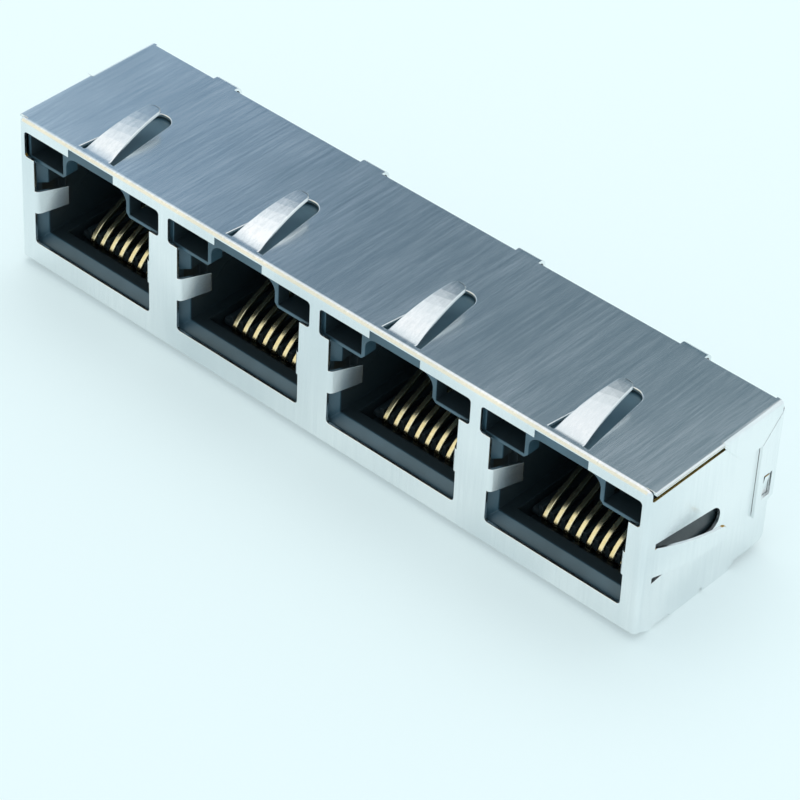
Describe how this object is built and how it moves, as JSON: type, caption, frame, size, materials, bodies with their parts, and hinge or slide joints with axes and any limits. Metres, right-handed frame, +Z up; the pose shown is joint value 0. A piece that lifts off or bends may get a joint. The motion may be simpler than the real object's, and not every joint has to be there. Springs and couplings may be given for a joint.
{
  "type": "shielded modular board jack",
  "caption": "Shielded right-angle board jack with a row of modular plug openings, spring ground fingers, empty lamp pockets, board pegs and solder tails.",
  "frame": {"origin": "on the circuit board's top face, at the middle of the row of board pegs", "axes": "+X along the row of openings, to the right as seen from the front; +Y to the rear, -Y out of the plug openings; +Z up from the board. The front panel's face is at y = -5.0 mm."},
  "size_m": [0.064, 0.0149, 0.0181],
  "materials": {
    "nickel_sheet": "nickel-plated brass sheet with a fine rolling grain and bare brass cut edges",
    "black_moulding": "black glass-filled moulding, satin",
    "insert_moulding": "black glass-filled moulding, satin",
    "gold_contact": "gold-plated spring bronze"
  },
  "bodies": {
    "root": {"front_shield": "nickel_sheet", "rear_shield": "nickel_sheet", "housing": "black_moulding", "contact_insert_1": "insert_moulding", "contact_insert_2": "insert_moulding", "contact_insert_3": "insert_moulding", "contact_insert_4": "insert_moulding", "port_1_contact_1": "gold_contact", "port_1_contact_2": "gold_contact", "port_1_contact_3": "gold_contact", "port_1_contact_4": "gold_contact", "port_1_contact_5": "gold_contact", "port_1_contact_6": "gold_contact", "port_1_contact_7": "gold_contact", "port_1_contact_8": "gold_contact", "port_2_contact_1": "gold_contact", "port_2_contact_2": "gold_contact", "port_2_contact_3": "gold_contact", "port_2_contact_4": "gold_contact", "port_2_contact_5": "gold_contact", "port_2_contact_6": "gold_contact", "port_2_contact_7": "gold_contact", "port_2_contact_8": "gold_contact", "port_3_contact_1": "gold_contact", "port_3_contact_2": "gold_contact", "port_3_contact_3": "gold_contact", "port_3_contact_4": "gold_contact", "port_3_contact_5": "gold_contact", "port_3_contact_6": "gold_contact", "port_3_contact_7": "gold_contact", "port_3_contact_8": "gold_contact", "port_4_contact_1": "gold_contact", "port_4_contact_2": "gold_contact", "port_4_contact_3": "gold_contact", "port_4_contact_4": "gold_contact", "port_4_contact_5": "gold_contact", "port_4_contact_6": "gold_contact", "port_4_contact_7": "gold_contact", "port_4_contact_8": "gold_contact"}
  },
  "joints": []
}
